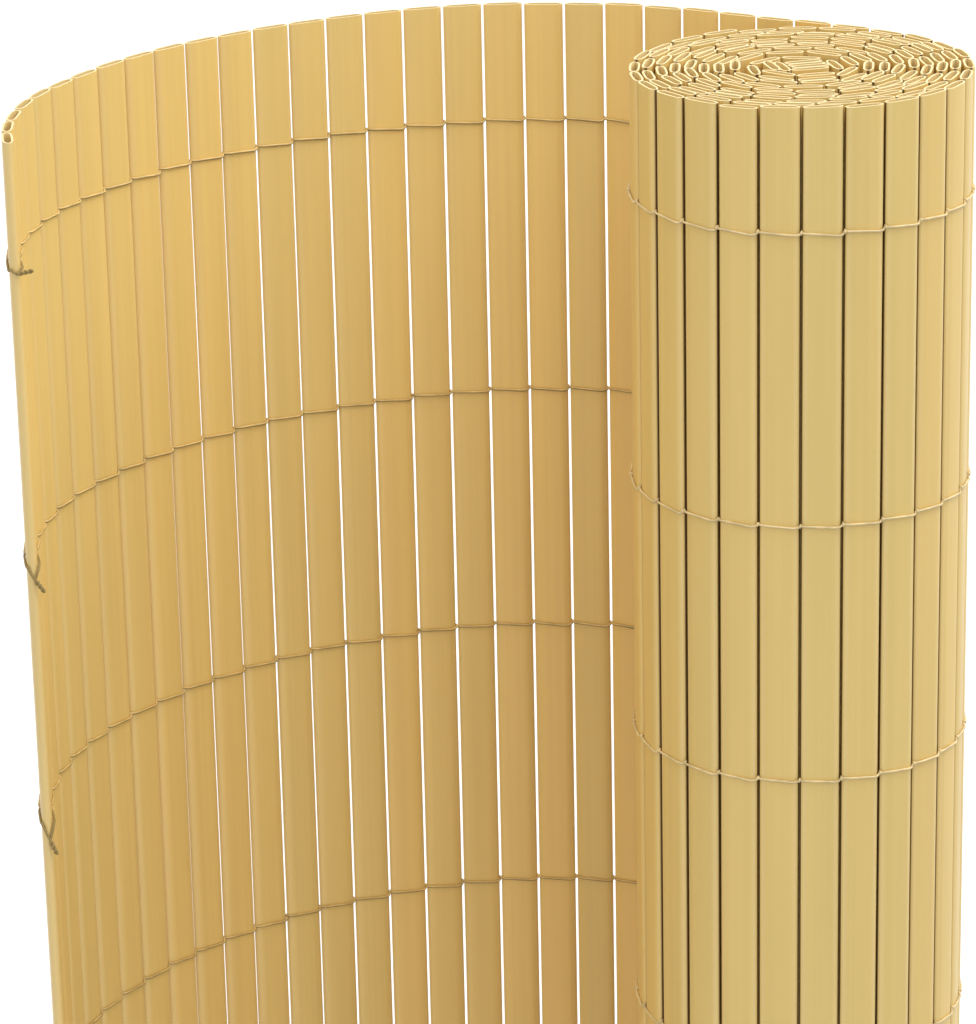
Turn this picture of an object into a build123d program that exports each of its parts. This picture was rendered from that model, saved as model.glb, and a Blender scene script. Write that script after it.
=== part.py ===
from build123d import *
import math
import os

# A PVC screening mat, stood on its slat ends and partly unrolled. Hollow flat-oval slats hang side by
# side on rows of tie wire. A long run of them is wound up into a roll, and the rest stands free behind
# it in an open curve. All sizes are in millimetres, and angles in degrees.

# One slat: a hollow extrusion, cut square at both ends.
SLAT_LENGTH = 1000.0
SLAT_WIDTH = 16.8
SLAT_THICKNESS = 4.5
SLAT_WALL = 0.7
EDGE_INSET = 2.3
EDGE_FLAT = 1.8

# The free panel, from the roll to its free end: the slats in each stretch of it, and the angle by which
# each slat in that stretch turns from the last.
PANEL_GAP = 1.2
PANEL_SLATS = (4, 6, 12, 6)
PANEL_ANGLES = (0.0, 6.5, 4.5, 7.0)

# The roll, wound from a core of a few slats outwards, anticlockwise seen from above. The mat leaves it
# on a tangent, at LEAVE_ANGLE from +X.
ROLL_SLATS = 159
ROLL_GAP = 0.44
CORE_SLATS = 3
TURN_CLEARANCE = 0.25
LEAVE_ANGLE = 60.0
GROOVE_DEPTH = 1.4

# The tie wires: a front and a back strand in each row. The upper rows are unevenly spaced, as tied,
# and the lower rows share out what is left down to the bottom margin.
WIRE = 1.0
WIRE_SEAT = 0.05
WIRE_TAIL = 3.5
ROW_MARGIN = 52.0
UPPER_ROW_STEPS = (126.0, 114.0, 129.0)
LOWER_ROWS = 4
STRAND_WRAP = 335.0

HALF_THICKNESS = SLAT_THICKNESS / 2
PANEL_PITCH = SLAT_WIDTH + PANEL_GAP
ROLL_PITCH = SLAT_WIDTH + ROLL_GAP
CORE_RADIUS = ROLL_PITCH / (2 * math.sin(math.pi / CORE_SLATS))


def polar(length, degrees):
    """A plan vector of this length, turned this far from +X."""
    return Vector(length * math.cos(math.radians(degrees)), length * math.sin(math.radians(degrees)))


def wind_roll():
    """Hinge points between the rolled slats, from the core out to where the mat leaves the roll, and
    how far back from there each one is wound, in degrees.

    Each turn lies on the one inside it, so it clears the mitred corners of that turn, and its flat slats
    clear them by their own rise. Sharp bends near the core push the slat edges apart.
    """
    straight = SLAT_WIDTH - SLAT_THICKNESS
    radius = CORE_RADIUS
    angle = 0.0
    pitch = ROLL_PITCH
    hinges = [(radius, angle)]
    for _ in range(ROLL_SLATS):
        half_turn = math.asin(pitch / (2 * radius))
        pitch = straight + (SLAT_THICKNESS + ROLL_GAP) / math.cos(half_turn)
        corner = HALF_THICKNESS / math.cos(half_turn)
        rise = pitch**2 / (8 * radius)
        radius += (HALF_THICKNESS + corner + TURN_CLEARANCE + rise) * half_turn / math.pi
        angle += 2 * math.degrees(half_turn)
        hinges.append((radius, angle))
    wound = [angle - a for _, a in hinges]
    return [polar(r, LEAVE_ANGLE - back) for (r, _), back in zip(hinges, wound)], wound


def unroll_panel(start):
    """Hinge points between the panel's slats, from the roll to the free end."""
    heading = LEAVE_ANGLE + 90
    points = [start]
    for count, bend in zip(PANEL_SLATS, PANEL_ANGLES):
        for _ in range(count):
            points.append(points[-1] + polar(PANEL_PITCH, heading))
            heading += bend
    return points


def offset_path(points, distance):
    """The path moved sideways, to its right for a positive distance, with mitred corners."""
    along = [(b - a).normalized() for a, b in zip(points, points[1:])]
    moved = []
    for i, point in enumerate(points):
        before = along[max(i - 1, 0)]
        after = along[min(i, len(along) - 1)]
        mean = (before + after).normalized()
        right = Vector(mean.Y, -mean.X)
        moved.append(point + right * (distance / mean.dot(after)))
    return moved


def plan_face(outline, holes=()):
    """A flat face from a closed outline, less its holes."""
    return Face(Wire.make_polygon(outline), [Wire.make_polygon(hole) for hole in holes])


def slat_section():
    """The slat's flat-oval section, lying along X: a wall of even thickness round one hollow."""
    side = SLAT_WIDTH / 2
    face = side - EDGE_INSET
    corner = [(face, HALF_THICKNESS), (side, EDGE_FLAT / 2)]
    right = corner + [(x, -y) for x, y in reversed(corner)]
    outline = right + [(-x, -y) for x, y in right]
    bore_y = HALF_THICKNESS - SLAT_WALL
    bore_right = [(face - SLAT_WALL / 2, bore_y), (side - SLAT_WALL, 0), (face - SLAT_WALL / 2, -bore_y)]
    bore = bore_right + [(-x, -y) for x, y in bore_right]
    return plan_face([Vector(*p) for p in outline], [[Vector(*p) for p in bore]])


def place_slat(section, start, end):
    """One slat of the panel, centred between two hinge points."""
    seat = Plane(origin=(start + end) / 2, x_dir=end - start, z_dir=(0, 0, 1))
    return extrude(seat * section, SLAT_LENGTH, dir=(0, 0, 1))


def rolled_mat(hinges):
    """The roll as one solid: slats meeting edge to edge in a spiral, each with its hollow.

    The slats' outer edges are bevelled, so that a groove runs down each joint.
    """
    outer = offset_path(hinges, HALF_THICKNESS)
    inner = offset_path(hinges, -HALF_THICKNESS)
    groove_floor = offset_path(hinges, HALF_THICKNESS - GROOVE_DEPTH)
    outside = [outer[0]]
    for before, corner, after, floor in zip(outer, outer[1:], outer[2:], groove_floor[1:]):
        back = (before - corner).normalized() * EDGE_INSET
        ahead = (after - corner).normalized() * EDGE_INSET
        outside += [corner + back, floor, corner + ahead]
    outside.append(outer[-1])
    hollows = []
    for a, b in zip(hinges, hinges[1:]):
        along = (b - a).normalized() * (EDGE_INSET + SLAT_WALL / 2)
        across = Vector(along.Y, -along.X).normalized() * (HALF_THICKNESS - SLAT_WALL)
        hollows.append([a + along + across, b - along + across, b - along - across, a + along - across])
    return extrude(plan_face(outside + inner[::-1], hollows), SLAT_LENGTH, dir=(0, 0, 1))


def tie_wire(path, side, height):
    """One strand laid along the slat faces, to the right of the path (side 1) or to its left (-1)."""
    near = HALF_THICKNESS + WIRE_SEAT
    inner = offset_path(path, side * near)
    outer = offset_path(path, side * (near + WIRE))
    strand = extrude(plan_face(inner + outer[::-1]), WIRE, dir=(0, 0, 1))
    return Pos(0, 0, height - WIRE / 2) * strand


def row_heights():
    """Heights of the tie rows above the slats' lower ends, from the top row down."""
    drops = [ROW_MARGIN]
    for step in UPPER_ROW_STEPS:
        drops.append(drops[-1] + step)
    lower_step = (SLAT_LENGTH - ROW_MARGIN - drops[-1]) / LOWER_ROWS
    drops += [drops[-1] + lower_step * n for n in range(1, LOWER_ROWS + 1)]
    return [SLAT_LENGTH - drop for drop in drops]


roll_hinges, wound_back = wind_roll()
panel_hinges = unroll_panel(roll_hinges[-1])

pieces = {"roll": rolled_mat(roll_hinges)}

section = slat_section()
for number, (start, end) in enumerate(zip(panel_hinges, panel_hinges[1:]), start=1):
    pieces[f"slat_{number:02d}"] = place_slat(section, start, end)

# The front strand enters the roll with the mat, past the panel's first slat. The back strand goes on
# round the roll's outer turn, until the mat lies over it. Both stand out at the free end as a short tail.
free_end = panel_hinges[-1]
tail = free_end + (free_end - panel_hinges[-2]).normalized() * (WIRE_TAIL - PANEL_GAP / 2)
front_path = panel_hinges[1:-1] + [tail]
outer_turn = [hinge for hinge, back in zip(roll_hinges, wound_back) if back <= STRAND_WRAP]
back_path = outer_turn + panel_hinges[1:-1] + [tail]
for row, height in enumerate(row_heights(), start=1):
    pieces[f"tie_wire_front_{row}"] = tie_wire(front_path, -1, height)
    pieces[f"tie_wire_back_{row}"] = tie_wire(back_path, 1, height)

# The origin is on the ground, under the middle of the whole mat.
bounds = Compound(list(pieces.values())).bounding_box()
to_origin = Pos(-bounds.center().X, -bounds.center().Y, 0)
os.makedirs("parts", exist_ok=True)
for name, piece in pieces.items():
    export_step(to_origin * piece, f"parts/{name}.step")
print(f"{ROLL_SLATS + len(panel_hinges) - 1} slats, roll radius {roll_hinges[-1].length:.1f}")
print(f"roll axis at {-bounds.center().X:.2f}, {-bounds.center().Y:.2f}")
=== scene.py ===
import math
import random

import bmesh
import bpy
from mathutils import Matrix, Vector


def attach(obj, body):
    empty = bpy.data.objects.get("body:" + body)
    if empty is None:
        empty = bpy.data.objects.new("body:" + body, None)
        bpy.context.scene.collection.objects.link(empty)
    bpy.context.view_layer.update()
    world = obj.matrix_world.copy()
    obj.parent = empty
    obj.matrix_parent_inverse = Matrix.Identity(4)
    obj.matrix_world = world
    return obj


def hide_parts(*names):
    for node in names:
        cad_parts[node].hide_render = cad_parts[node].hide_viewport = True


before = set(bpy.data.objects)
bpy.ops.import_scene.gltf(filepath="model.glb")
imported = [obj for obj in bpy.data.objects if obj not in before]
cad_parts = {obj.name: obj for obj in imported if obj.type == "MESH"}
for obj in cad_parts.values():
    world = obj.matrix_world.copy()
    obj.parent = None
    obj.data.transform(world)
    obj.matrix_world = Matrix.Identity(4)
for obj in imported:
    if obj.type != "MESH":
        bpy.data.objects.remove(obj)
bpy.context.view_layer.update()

# The rolled slats: hollow flat-oval extrusions in rigid PVC, sawn off square at both ends. The mat's inner
# end is folded into a small bundle, and the rest is wound round it, each turn on the one inside it.
SLAT_LENGTH = 1.0
SLAT_WIDTH = 0.0168
SLAT_THICKNESS = 0.0045
SLAT_WALL = 0.0008
SLAT_EDGE = 0.0046
SLAT_CROWN = 0.00003

ROLL_SLATS = 159
ROLL_GAP = 0.00044
ROLL_AXIS = Vector((0.12555, -0.01433))
CORE_LAY = ((0.0030, 0.0089, 13), (0.0040, 0.0044, 13), (0.0051, -0.0001, 13), (0.0046, -0.0050, 13),
            (-0.0065, 0.0025, 103), (-0.0108, 0.0007, 103), (-0.0089, -0.0117, -40), (0.0062, -0.0150, 12),
            (0.0156, 0.0036, 103))
INNER_RADIUS = 0.0182
TURN_CLEARANCE = 0.000487614
LEAVE_ANGLE = math.radians(60)

ROLLED_STEPS = 16
ROLLED_WIDTH = 0.0166
# How strongly the rolled slats' edges take the painted highlight and the painted gap shade.
ROLL_PAINTED_EDGES = 1.0
ROLL_TONES = (0.0, 0.5)
ROLL_ASKEW = 3.0
CORE_ASKEW = 0.8
ROLL_CUT = 0.0012
ROLL_SHIFT = 0.00015

STRAW_YELLOW = (0.745, 0.550, 0.192, 1)
STRAW_ORANGE = (0.850, 0.570, 0.180, 1)
# Painted highlight: a paler colour laid on the band where each slat's face curves round into its long
# edges.
PAINTED_EDGE_HIGHLIGHT = (0.90, 0.72, 0.38, 1)
HIGHLIGHT_FROM, HIGHLIGHT_MOST, HIGHLIGHT_TO = 0.35, 0.75, 0.92
HIGHLIGHT_SHARE = (0.30, 0.30, 0.30, 1)
NO_HIGHLIGHT = (0, 0, 0, 1)
# Painted shade with some dust: a dark brown laid on the slats' outermost edges, in the gaps between them.
GAP_SHADE_AND_DUST = (0.09, 0.034, 0.006, 1)
SHADE_AND_DUST_SPAN = (0.92, 0.975)
SHADE_AND_DUST_SHARE = 0.95
# Pale sawn ends, and painted light in the bores, which take a share of the same pale colour.
SAWN_END_AND_BORE_LIGHT = (0.86, 0.71, 0.39, 1)
SAWN_AND_BORE_SHARE = 0.85
BORE_PAINTED_LIGHT = 0.7
NOISE_SPAN = (0.3, 0.7)
LINE_SCALE = (420, 420, 1.6)
LINE_DETAIL = 3.0
LINE_SHADE = (0.975, 1.02)
LINE_ROUGHNESS = (0.40, 0.50)
LINE_BUMP = 0.12
LINE_DEPTH = 0.0003
CLOUD_SCALE = (60, 60, 5)
CLOUD_DETAIL = 2.0
CLOUD_SHADE = (0.965, 1.03)
PVC_IOR = 1.5

shuffle = random.Random(17)


def add_node(tree, kind, inputs=None, **settings):
    """One shader node, with its settings and the values or links of its inputs."""
    node = tree.nodes.new(kind)
    for name, value in settings.items():
        setattr(node, name, value)
    for name, value in (inputs or {}).items():
        if isinstance(value, bpy.types.NodeSocket):
            tree.links.new(value, node.inputs[name])
        else:
            node.inputs[name].default_value = value
    return node


def read_mark(tree, name):
    """A value that the mesh carries."""
    return add_node(tree, "ShaderNodeAttribute", attribute_name=name).outputs["Fac"]


def blend_colour(tree, factor, first, second, how="MIX"):
    """Two colours mixed by a factor."""
    inputs = {0: factor, 6: first, 7: second}
    return add_node(tree, "ShaderNodeMix", inputs, data_type="RGBA", blend_type=how).outputs[2]


def map_range(tree, value, low, high, to_low, to_high):
    """A value moved from one range to another."""
    ranges = {"Value": value, "From Min": low, "From Max": high, "To Min": to_low, "To Max": to_high}
    return add_node(tree, "ShaderNodeMapRange", ranges).outputs[0]


def stretched_noise(tree, place, scale, detail):
    """Noise with a scale of its own along each axis."""
    drawn = add_node(tree, "ShaderNodeMapping", {"Vector": place, "Scale": scale}).outputs[0]
    noise = add_node(tree, "ShaderNodeTexNoise", {"Vector": drawn, "Scale": 1.0, "Detail": detail})
    return noise.outputs["Fac"]


def extruded_pvc():
    """Satin straw-coloured PVC: draw lines along the slat, a tone of its own, a painted highlight on the
    edges, painted shade with dust in the gaps, pale sawn ends and painted light in the bores.
    """
    material = bpy.data.materials.new("straw_pvc")
    material.use_nodes = True
    tree = material.node_tree
    shader = tree.nodes["Principled BSDF"]
    place = tree.nodes.new("ShaderNodeTexCoord").outputs["Object"]

    lines = stretched_noise(tree, place, LINE_SCALE, LINE_DETAIL)
    cloud = stretched_noise(tree, place, CLOUD_SCALE, CLOUD_DETAIL)
    edge = read_mark(tree, "edge")

    colour = blend_colour(tree, read_mark(tree, "tone"), STRAW_YELLOW, STRAW_ORANGE)
    line_shade = map_range(tree, lines, *NOISE_SPAN, *LINE_SHADE)
    colour = blend_colour(tree, 1.0, colour, line_shade, "MULTIPLY")
    cloud_shade = map_range(tree, cloud, *NOISE_SPAN, *CLOUD_SHADE)
    colour = blend_colour(tree, 1.0, colour, cloud_shade, "MULTIPLY")
    # Painted highlight: the edge band is mixed towards a paler colour.
    edge_highlight = add_node(tree, "ShaderNodeValToRGB", {"Fac": edge})
    stops = edge_highlight.color_ramp.elements
    stops[0].position = HIGHLIGHT_FROM
    stops[0].color = NO_HIGHLIGHT
    stops[1].position = HIGHLIGHT_MOST
    stops[1].color = HIGHLIGHT_SHARE
    stops.new(HIGHLIGHT_TO).color = NO_HIGHLIGHT
    colour = blend_colour(tree, edge_highlight.outputs["Color"], colour, PAINTED_EDGE_HIGHLIGHT)
    # Painted shade with some dust in the gaps: the outermost edges darken to brown.
    shade_and_dust = map_range(tree, edge, *SHADE_AND_DUST_SPAN, 0.0, SHADE_AND_DUST_SHARE)
    colour = blend_colour(tree, shade_and_dust, colour, GAP_SHADE_AND_DUST)
    # Pale sawn ends, and painted light on the bores' inner walls.
    sawn_and_bore_light = map_range(tree, read_mark(tree, "sawn_and_bore_light"), 0.0, 1.0, 0.0, SAWN_AND_BORE_SHARE)
    colour = blend_colour(tree, sawn_and_bore_light, colour, SAWN_END_AND_BORE_LIGHT)
    tree.links.new(colour, shader.inputs["Base Color"])
    tree.links.new(map_range(tree, lines, *NOISE_SPAN, *LINE_ROUGHNESS), shader.inputs["Roughness"])
    relief = {"Height": lines, "Strength": LINE_BUMP, "Distance": LINE_DEPTH}
    tree.links.new(add_node(tree, "ShaderNodeBump", relief).outputs[0], shader.inputs["Normal"])
    shader.inputs["IOR"].default_value = PVC_IOR
    return material


def polar(length, angle):
    """A plan vector of this length, turned this far from +X."""
    return Vector((length * math.cos(angle), length * math.sin(angle)))


def wind_roll():
    """Hinge points between the wound slats, from the core out, and how far each is wound back."""
    half_thickness = SLAT_THICKNESS / 2
    pitch = SLAT_WIDTH + ROLL_GAP
    radius = INNER_RADIUS
    angle = 0.0
    hinges = [(radius, angle)]
    for _ in range(ROLL_SLATS - len(CORE_LAY)):
        half_turn = math.asin(pitch / (2 * radius))
        pitch = SLAT_WIDTH - SLAT_THICKNESS + (SLAT_THICKNESS + ROLL_GAP) / math.cos(half_turn)
        corner = half_thickness / math.cos(half_turn)
        rise = pitch**2 / (8 * radius)
        radius += (half_thickness + corner + TURN_CLEARANCE + rise) * half_turn / math.pi
        angle += 2 * half_turn
        hinges.append((radius, angle))
    wound = [angle - a for _, a in hinges]
    return [ROLL_AXIS + polar(r, LEAVE_ANGLE - back) for (r, _), back in zip(hinges, wound)], wound


def slat_layers(bm):
    """The colour values that each slat carries: its tone, its long edges for the painted highlight and gap
    shade, and its sawn ends and bores, the bores for painted light.
    """
    layers = {name: bm.verts.layers.float.new(name) for name in ("tone", "edge")}
    return layers | {"sawn_and_bore_light": bm.faces.layers.float.new("sawn_and_bore_light")}


def out_of_true(askew, cut, shift, tones):
    """One slat's own turn, shortness, shift and tone, each by chance within its limits."""
    return (math.radians(shuffle.uniform(-askew, askew)), shuffle.uniform(0, cut),
            shuffle.uniform(-shift, shift), shuffle.uniform(*tones))


def add_slat(bm, layers, start, end, steps, width, painted_edges, tone, cut, askew, shift):
    """One hollow slat between two hinge points, cut a little short, turned and shifted out of true."""
    rim = bmesh.ops.create_circle(bm, cap_ends=True, segments=steps, radius=1)["verts"]
    cap = rim[0].link_faces[0]
    middles = [vert for vert in rim if abs(vert.co.x) < 1e-4]
    # The edge mark, scaled by the slat's kind, says where the painted highlight and gap shade fall.
    for vert in rim:
        side = 0 if vert in middles else math.copysign(width / 2 - SLAT_EDGE, vert.co.x)
        vert[layers["edge"]] = abs(vert.co.x) * painted_edges
        vert.co = (side + vert.co.x * SLAT_EDGE, vert.co.y * SLAT_THICKNESS / 2, 0)
    flats = [line for vert in middles for line in vert.link_edges]
    for vert in bmesh.ops.bisect_edges(bm, edges=flats, cuts=1)["geom_split"]:
        if isinstance(vert, bmesh.types.BMVert):
            vert.co.x = math.copysign(width / 2 - SLAT_EDGE, vert.co.x)
            vert.co.y = math.copysign(SLAT_THICKNESS / 2 - SLAT_CROWN, vert.co.y)
            vert[layers["edge"]] = 0.0
    wall = bmesh.ops.inset_individual(bm, faces=[cap], thickness=SLAT_WALL, use_even_offset=True)["faces"]
    bmesh.ops.delete(bm, geom=[cap], context="FACES_ONLY")
    pulled = bmesh.ops.extrude_face_region(bm, geom=wall)["geom"]
    top = [item for item in pulled if isinstance(item, bmesh.types.BMVert)]
    bmesh.ops.translate(bm, verts=top, vec=(0, 0, SLAT_LENGTH - cut))

    verts = list(dict.fromkeys([vert for face in wall for vert in face.verts] + top))
    faces = list(dict.fromkeys(face for vert in verts for face in vert.link_faces))
    bmesh.ops.recalc_face_normals(bm, faces=faces)
    for vert in verts:
        vert[layers["tone"]] = tone
    for face in faces:
        face.smooth = True
        middle = face.calc_center_median()
        in_bore = face.normal.x * middle.x + face.normal.y * middle.y < 0
        # The sawn end faces are marked in full, and the bores' inner walls in part, for painted light.
        face[layers["sawn_and_bore_light"]] = 1.0 if abs(face.normal.z) > 0.5 else BORE_PAINTED_LIGHT if in_bore else 0.0
    for line in {line for face in faces for line in face.edges}:
        ends = [abs(face.normal.z) > 0.5 for face in line.link_faces]
        line.smooth = ends[0] == ends[1]
    along = end - start
    heading = math.atan2(along.y, along.x) + askew
    middle = (start + end) / 2 + Vector((-along.y, along.x)).normalized() * shift
    seat = Matrix.Translation((middle.x, middle.y, 0)) @ Matrix.Rotation(heading, 4, "Z")
    bmesh.ops.transform(bm, matrix=seat, verts=verts)


def finish_piece(name, bm, material, slot, *nodes):
    """The finished piece, standing for its CAD nodes."""
    mesh = bpy.data.meshes.new(name)
    bm.to_mesh(mesh)
    bm.free()
    mesh.materials.append(material)
    piece = bpy.data.objects.new(name, mesh)
    bpy.context.scene.collection.objects.link(piece)
    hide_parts(*nodes)
    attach(piece, "root")


straw_pvc = extruded_pvc()
bm = bmesh.new()
layers = slat_layers(bm)
for x, y, lie in CORE_LAY:
    askew, cut, shift, tone = out_of_true(CORE_ASKEW, ROLL_CUT, ROLL_SHIFT, ROLL_TONES)
    middle = ROLL_AXIS + Vector((x, y))
    half = polar(SLAT_WIDTH / 2, math.radians(lie))
    add_slat(bm, layers, middle - half, middle + half, ROLLED_STEPS, ROLLED_WIDTH, ROLL_PAINTED_EDGES,
             tone, cut, askew, shift)
finish_piece("folded_core", bm, straw_pvc, "slat_pvc", "roll")

roll_hinges, wound_back = wind_roll()
turns = {}
for number, back in enumerate(wound_back[1:]):
    turns.setdefault(int((wound_back[0] - back) / math.tau), []).append(number)
for turn, numbers in turns.items():
    bm = bmesh.new()
    layers = slat_layers(bm)
    for number in numbers:
        askew, cut, shift, tone = out_of_true(ROLL_ASKEW, ROLL_CUT, ROLL_SHIFT, ROLL_TONES)
        start, end = roll_hinges[number:number + 2]
        add_slat(bm, layers, start, end, ROLLED_STEPS, ROLLED_WIDTH, ROLL_PAINTED_EDGES, tone, cut, askew, shift)
    finish_piece(f"rolled_turn_{turn + 1:02d}", bm, straw_pvc, "slat_pvc", "roll")

# The free panel: the same PVC slats, standing on their ends side by side with daylight between them,
# from the roll round to the mat's free end. Only the tie wires hold them.
PANEL_SLATS = (4, 6, 12, 6)
PANEL_ANGLES = (0.0, 6.5, 4.5, 7.0)
PANEL_GAP = 0.0012
PANEL_STEPS = 24
PANEL_WIDTH = 0.0170
# How strongly the panel slats' edges take the painted highlight and the painted gap shade.
PANEL_PAINTED_EDGES = 0.78
PANEL_TONES = (0.3, 1.1)
PANEL_FADE = 0.6
PANEL_ASKEW = 0.6
PANEL_CUT = 0.0005
PANEL_SHIFT = 0.00015

panel_hinges = [roll_hinges[-1]]
heading = LEAVE_ANGLE + math.pi / 2
for count, bend in zip(PANEL_SLATS, PANEL_ANGLES):
    for _ in range(count):
        panel_hinges.append(panel_hinges[-1] + polar(SLAT_WIDTH + PANEL_GAP, heading))
        heading += math.radians(bend)
for number, (start, end) in enumerate(zip(panel_hinges, panel_hinges[1:]), start=1):
    bm = bmesh.new()
    askew, cut, shift, tone = out_of_true(PANEL_ASKEW, PANEL_CUT, PANEL_SHIFT, PANEL_TONES)
    tone = tone * (1 - PANEL_FADE * number / len(panel_hinges))
    add_slat(bm, slat_layers(bm), start, end, PANEL_STEPS, PANEL_WIDTH, PANEL_PAINTED_EDGES,
             tone, cut, askew, shift)
    finish_piece(f"panel_slat_{number:02d}", bm, straw_pvc, "slat_pvc", f"slat_{number:02d}")

# The tie wires: eight rows of coated wire, each with a front and a back strand. They lie on the slats and
# hook round each other in every gap, and at the free end they are twisted together into a short tail.
WIRE_RADIUS = 0.00053
WIRE_SEAT = 0.00005
ROW_MARGIN = 0.052
UPPER_ROW_STEPS = (0.126, 0.114, 0.129)
LOWER_ROWS = 4
STRAND_WRAP = math.radians(335)
STRAND_FACE = SLAT_THICKNESS / 2 + WIRE_RADIUS + WIRE_SEAT
STRAND_BENDS = ((-0.0088, 0.0011), (-0.0076, 0.0022), (-0.0056, STRAND_FACE), (-0.001, STRAND_FACE),
                (0.0040, STRAND_FACE), (0.0060, STRAND_FACE), (0.0076, 0.0022), (0.0088, 0.0011))
STRAND_LIFT = 0.0002
HOOK_DROP = 0.0012
HOOK_DROPS = (0.65, 1.2)
HOOK_FROM = 0.008
HOOK_RISE = 0.45
SAG_REACH = 0.0064
SAG_LEAST = 0.1
HINGE_ROOM = 0.00015
GAP_DEPTH = -0.0004
GROOVE_DEPTH = 0.0016
GROOVE_BENDS = ((-0.0006, 0.0010, -0.0002), (-0.0005, 0.0020, -0.00015), (0, 0.0026, 0),
                (0.0005, 0.0020, 0.00015), (0.0006, 0.0010, 0.0002))

END_POINTS = 3
FRONT_END = ((0.0078, 0.0024, 0.20), (0.0089, 0.0015, 0.60))
BACK_END = ((0.0078, 0.0024, 0.10), (0.0090, 0.0014, 0.40), (0.0094, 0.0002, 0.80))
KNOT_ALONG, KNOT_OUT = 0.0094, 0.0006
TIP_ALONG = 0.0102
TAIL_FALLS = (0.0018, 0.0062, 0.0080, 0.0066, 0.0055, 0.0075, 0.0060, 0.0070)
TAIL_TIPS = ((0.0066, 0.0012), (0.0040, -0.0050), (0.0030, -0.0060), (0.0040, -0.0042),
             (0.0050, -0.0030), (0.0034, -0.0055), (0.0048, -0.0040), (0.0038, -0.0052))
TAIL_STEPS = 14
TAIL_TWISTS = 1.6
TAIL_SPREAD = 0.9
TAIL_FRAY, FRAY_FROM = 0.5, 0.8

COAT_TAN = (0.68, 0.49, 0.19, 1)
# Painted light: the coat is paler on the wire that runs round the roll.
COAT_PAINTED_LIGHT = (0.75, 0.59, 0.30, 1)
# Painted shade: a dark brown laid on the wire's underside and on the free end's tails.
COAT_PAINTED_SHADE = (0.16, 0.11, 0.025, 1)
COAT_ROUGHNESS = (0.36, 0.85)
PATCH_SCALE = 160.0
PATCH_DETAIL = 2.0
PATCH_SPAN = (0.35, 0.65)
PATCH_SHADE = (0.85, 1.12)
# Painted light: where the paler coat starts and where it is full, by distance from the roll's axis.
ROLL_LIGHT_FROM = 0.110
ROLL_LIGHT_TO = 0.082
# Painted shade on the wire's underside, growing as its surface faces down.
UNDER_SHADE = 0.9
UNDER_LEVEL, UNDER_SLOPE = 0.35, 1.2
ROLL_LIGHT_UNSHADED = 0.85
# Painted shade at the free end, fading out with distance from it.
END_SHADE = 0.7
END_SHADE_FROM = 0.024
END_SHADE_TO = 0.014


def coated_wire():
    """Thin plastic-coated wire: a tan coat, with painted light making it paler round the roll and painted
    shade underneath and at the free end.
    """
    material = bpy.data.materials.new("coated_wire")
    material.use_nodes = True
    tree = material.node_tree
    shader = tree.nodes["Principled BSDF"]
    place = tree.nodes.new("ShaderNodeTexCoord").outputs["Object"]
    patch = {"Vector": place, "Scale": PATCH_SCALE, "Detail": PATCH_DETAIL}
    patches = add_node(tree, "ShaderNodeTexNoise", patch)
    # Painted light: the coat is paler round the roll.
    colour = blend_colour(tree, read_mark(tree, "painted_roll_light"), COAT_TAN, COAT_PAINTED_LIGHT)
    patch_shade = map_range(tree, patches.outputs["Fac"], *PATCH_SPAN, *PATCH_SHADE)
    colour = blend_colour(tree, 1.0, colour, patch_shade, "MULTIPLY")
    # Painted shade underneath and at the free end, which also roughens the coat.
    painted_shade = read_mark(tree, "painted_shade")
    colour = blend_colour(tree, painted_shade, colour, COAT_PAINTED_SHADE)
    tree.links.new(colour, shader.inputs["Base Color"])
    tree.links.new(map_range(tree, painted_shade, 0.0, 1.0, *COAT_ROUGHNESS), shader.inputs["Roughness"])
    return material


def clamp(value, low=0, high=1):
    """A value held between two limits."""
    return min(max(value, low), high)


def beside(start, end, side, along, out, height):
    """A point beside the slat between two hinges: along it from its middle, and out from its mid-plane."""
    run = (end - start).normalized()
    spot = (start + end) / 2 + run * along + Vector((-run.y, run.x)) * (side * out)
    return Vector((spot.x, spot.y, height))


def lay_strand(path, side, height, gap_depths, low_end):
    """A strand over the slats of a path, sagging to the low end of each slat and hooked up into the gap."""
    points = []
    for (start, end), depth in zip(zip(path, path[1:]), gap_depths):
        drop = HOOK_DROP * shuffle.uniform(*HOOK_DROPS)
        lift = shuffle.uniform(-STRAND_LIFT, STRAND_LIFT)
        half = (end - start).length / 2
        for along, out in STRAND_BENDS:
            fall = clamp(0.5 + 0.5 * low_end * along / SAG_REACH, SAG_LEAST, 1.0)
            if abs(along) > HOOK_FROM:
                fall *= HOOK_RISE
            along = clamp(along, HINGE_ROOM - half, half - HINGE_ROOM)
            points.append(beside(start, end, side, along, max(out, depth), height + lift - drop * fall))
        points.append(beside(start, end, side, half, depth, height))
    return points


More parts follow.
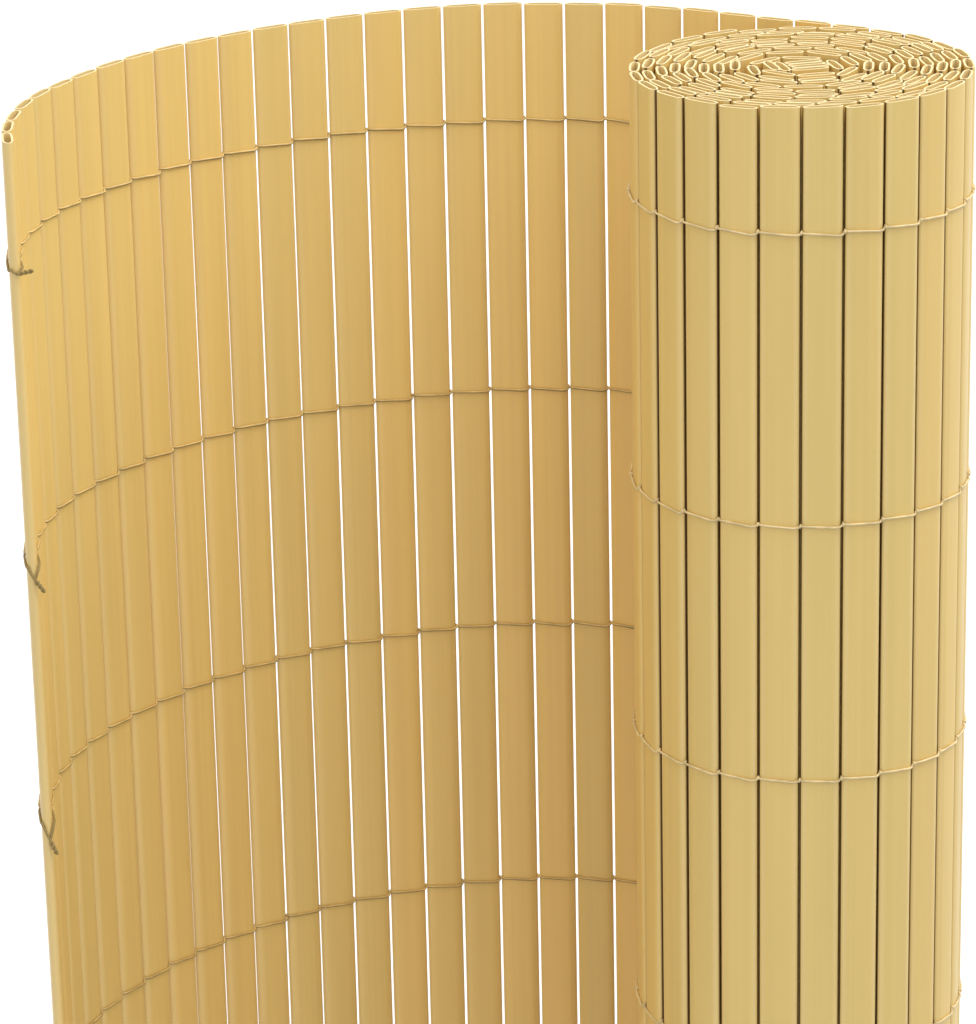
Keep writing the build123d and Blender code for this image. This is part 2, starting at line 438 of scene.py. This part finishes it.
def wire_mesh(name, strands):
    """Round wire drawn along one or more smooth lines, with marks for its painted light round the roll and
    its painted shade underneath and at the free end.
    """
    line = bpy.data.curves.new(name, "CURVE")
    line.dimensions = "3D"
    line.bevel_depth = WIRE_RADIUS
    line.bevel_resolution = 1
    line.use_fill_caps = True
    for strand in strands:
        spline = line.splines.new("NURBS")
        spline.points.add(len(strand) - 1)
        for point, place in zip(spline.points, strand):
            point.co = (*place, 1)
        spline.order_u = 3
        spline.use_endpoint_u = True
        spline.resolution_u = 2
        spline.use_smooth = True
    drawn = bpy.data.objects.new(name + "_line", line)
    bpy.context.scene.collection.objects.link(drawn)
    mesh = bpy.data.meshes.new_from_object(drawn.evaluated_get(bpy.context.evaluated_depsgraph_get()))
    bpy.data.objects.remove(drawn)
    bm = bmesh.new()
    bm.from_mesh(mesh)
    bpy.data.meshes.remove(mesh)
    bmesh.ops.remove_doubles(bm, verts=bm.verts, dist=1e-6)
    bmesh.ops.recalc_face_normals(bm, faces=bm.faces)
    bm.normal_update()
    painted_roll_light = bm.verts.layers.float.new("painted_roll_light")
    painted_shade = bm.verts.layers.float.new("painted_shade")
    for vert in bm.verts:
        from_roll = (vert.co.xy - ROLL_AXIS).length
        from_end = (vert.co.xy - panel_hinges[-1]).length
        # Painted light: the coat pales towards the roll.
        vert[painted_roll_light] = clamp((ROLL_LIGHT_FROM - from_roll) / (ROLL_LIGHT_FROM - ROLL_LIGHT_TO))
        # Painted shade: darker underneath the wire, less so round the roll, and darker at the free end.
        shaded = clamp(UNDER_LEVEL - UNDER_SLOPE * vert.normal.z)
        under_shade = UNDER_SHADE * shaded * (1 - ROLL_LIGHT_UNSHADED * vert[painted_roll_light])
        at_end = END_SHADE * clamp((END_SHADE_FROM - from_end) / (END_SHADE_FROM - END_SHADE_TO))
        vert[painted_shade] = max(under_shade, at_end)
    return bm


def groove_hook(before, hinge, after, height):
    """The hidden strand's hook, out of a groove of the roll and over the strand that lies there."""
    run = (after - before).normalized()
    out = Vector((run.y, -run.x))
    spots = [(hinge + out * depth + run * along, rise) for rise, depth, along in GROOVE_BENDS]
    return [Vector((spot.x, spot.y, height + rise)) for spot, rise in spots]


def twisted_tail(start, tip, side):
    """One of the two strands of a tail, wound round the other from its start to its tip."""
    axis = tip - start
    across = axis.orthogonal().normalized()
    up = axis.normalized().cross(across)
    points = []
    for step in range(TAIL_STEPS + 1):
        share = step / TAIL_STEPS
        swing = side * math.pi / 2 + share * math.tau * TAIL_TWISTS
        spread = WIRE_RADIUS * (TAIL_SPREAD + TAIL_FRAY * max(share - FRAY_FROM, 0))
        points.append(start + axis * share + (across * math.cos(swing) + up * math.sin(swing)) * spread)
    return points


row_drops = [ROW_MARGIN]
for step in UPPER_ROW_STEPS:
    row_drops.append(row_drops[-1] + step)
lower_step = (SLAT_LENGTH - ROW_MARGIN - row_drops[-1]) / LOWER_ROWS
row_drops += [row_drops[-1] + lower_step * n for n in range(1, LOWER_ROWS + 1)]

coat = coated_wire()
outer_turn = [hinge for hinge, back in zip(roll_hinges, wound_back) if back <= STRAND_WRAP]
front_path = panel_hinges[1:]
back_path = outer_turn + front_path
front_depths = [GAP_DEPTH] * (len(front_path) - 1)
back_depths = [GROOVE_DEPTH] * (len(outer_turn) - 1) + [GAP_DEPTH] * len(front_path)
end_slat = panel_hinges[-2:]
for row, (drop, fall, (tip_out, tip_rise)) in enumerate(zip(row_drops, TAIL_FALLS, TAIL_TIPS), start=1):
    height = SLAT_LENGTH - drop
    knot = beside(*end_slat, 1, KNOT_ALONG, KNOT_OUT, height - fall)
    tip = beside(*end_slat, 1, TIP_ALONG, tip_out, height - fall + tip_rise)

    front = lay_strand(front_path, 1, height, front_depths, -1)[:-END_POINTS]
    front += [beside(*end_slat, 1, along, out, height - fall * share) for along, out, share in FRONT_END]
    front += twisted_tail(knot, tip, 1)
    hooks = [groove_hook(*spots, height) for spots in zip(outer_turn, outer_turn[1:], outer_turn[2:])]
    wire = wire_mesh(f"front_strand_{row}", [front, *hooks])
    finish_piece(f"front_strand_{row}", wire, coat, "tie_wire", f"tie_wire_front_{row}")

    back = lay_strand(back_path, -1, height, back_depths, 1)[:-END_POINTS]
    back += [beside(*end_slat, -1, along, out, height - fall * share) for along, out, share in BACK_END]
    back += twisted_tail(knot, tip, -1)
    wire = wire_mesh(f"back_strand_{row}", [back])
    finish_piece(f"back_strand_{row}", wire, coat, "tie_wire", f"tie_wire_back_{row}")

# The floor: a plain pale sheet of studio paper that the mat stands on. It shows white away from the mat,
# and takes the mat's soft shadow close to it.
FLOOR_SIZE = 20.0
FLOOR_GREY = (0.62, 0.62, 0.62, 1)
FLOOR_ROUGHNESS = 0.9
FLOOR_GLOW = 1.3
GLOW_REACH = (0.4, 0.95)
GLOW_SHARE = (0.58, 1.0)
WHITE = (1, 1, 1, 1)


def larger(tree, first, second):
    """The larger of two values."""
    return add_node(tree, "ShaderNodeMath", {0: first, 1: second}, operation="MAXIMUM").outputs[0]


def background_rays(tree):
    """1 for rays that see the background, straight or mirrored, and 0 for rays that light the mat."""
    seen = tree.nodes.new("ShaderNodeLightPath").outputs
    either = larger(tree, seen["Is Camera Ray"], seen["Is Glossy Ray"])
    return larger(tree, either, seen["Is Transmission Ray"])


paper = bpy.data.materials.new("studio_paper")
paper.use_nodes = True
tree = paper.node_tree
shader = tree.nodes["Principled BSDF"]
shader.inputs["Base Color"].default_value = FLOOR_GREY
shader.inputs["Roughness"].default_value = FLOOR_ROUGHNESS
glow = add_node(tree, "ShaderNodeEmission", {"Color": WHITE, "Strength": FLOOR_GLOW}).outputs[0]
place = tree.nodes.new("ShaderNodeTexCoord").outputs["Object"]
distance = add_node(tree, "ShaderNodeVectorMath", {0: place}, operation="LENGTH").outputs["Value"]
fade = map_range(tree, distance, *GLOW_REACH, *GLOW_SHARE)
seen = background_rays(tree)
share = add_node(tree, "ShaderNodeMath", {0: seen, 1: fade}, operation="MULTIPLY").outputs[0]
mixed = add_node(tree, "ShaderNodeMixShader", {0: share, 1: shader.outputs[0], 2: glow}).outputs[0]
tree.links.new(mixed, tree.nodes["Material Output"].inputs["Surface"])
bm = bmesh.new()
bmesh.ops.create_grid(bm, x_segments=1, y_segments=1, size=FLOOR_SIZE)
floor_mesh = bpy.data.meshes.new("floor")
bm.to_mesh(floor_mesh)
bm.free()
floor_mesh.materials.append(paper)
floor = bpy.data.objects.new("floor", floor_mesh)
bpy.context.scene.collection.objects.link(floor)

# The light: a white room, with soft lamps high on the right in front, overhead, high on the right
# behind, where it reaches into the hollow of the panel, and a weak one on the left in front.
ROOM_LIGHT = 0.70
LAMPS = (("key", (0.9, -1.3, 2.9), 1.8, 14), ("over", (0.1, -0.2, 2.9), 2.0, 15),
         ("side", (1.2, 0.45, 2.15), 1.2, 18), ("fill", (-1.6, -2.4, 1.9), 2.0, 9))
LAMP_AIM = Vector((0, 0, 0.7))

world = bpy.data.worlds.new("white_room")
world.use_nodes = True
bpy.context.scene.world = world
tree = world.node_tree
room = tree.nodes["Background"]
room.inputs["Color"].default_value = WHITE
strength = map_range(tree, background_rays(tree), 0.0, 1.0, ROOM_LIGHT, 1.0)
tree.links.new(strength, room.inputs["Strength"])
for name, place, size, power in LAMPS:
    lamp = bpy.data.lights.new(name, "AREA")
    lamp.size = size
    lamp.energy = power
    stand = bpy.data.objects.new(name, lamp)
    stand.location = place
    stand.rotation_euler = (LAMP_AIM - Vector(place)).to_track_quat("-Z", "Y").to_euler()
    bpy.context.scene.collection.objects.link(stand)

# The camera: a long lens at the photograph's place, looking down on the upper half of the mat. Its place,
# turn and lens were fitted to the slats and tie rows in the photograph.
CAMERA_PLACE = Vector((-0.0268, -1.8226, 1.4511))
CAMERA_YAW = math.radians(0.623)
CAMERA_PITCH = math.radians(19.625)
CAMERA_ROLL = math.radians(1.233)
LENS = 157.13

ahead = Vector((math.sin(CAMERA_YAW) * math.cos(CAMERA_PITCH),
                math.cos(CAMERA_YAW) * math.cos(CAMERA_PITCH), -math.sin(CAMERA_PITCH)))
right = Vector((math.cos(CAMERA_YAW), -math.sin(CAMERA_YAW), 0))
down = ahead.cross(right)
across = right * math.cos(CAMERA_ROLL) + down * math.sin(CAMERA_ROLL)
upright = right * math.sin(CAMERA_ROLL) - down * math.cos(CAMERA_ROLL)
lens = bpy.data.cameras.new("camera")
lens.lens = LENS
camera = bpy.data.objects.new("camera", lens)
camera.matrix_world = Matrix((across, upright, -ahead)).transposed().to_4x4()
camera.location = CAMERA_PLACE
bpy.context.scene.collection.objects.link(camera)
bpy.context.scene.camera = camera
bpy.context.scene.view_settings.view_transform = "Standard"
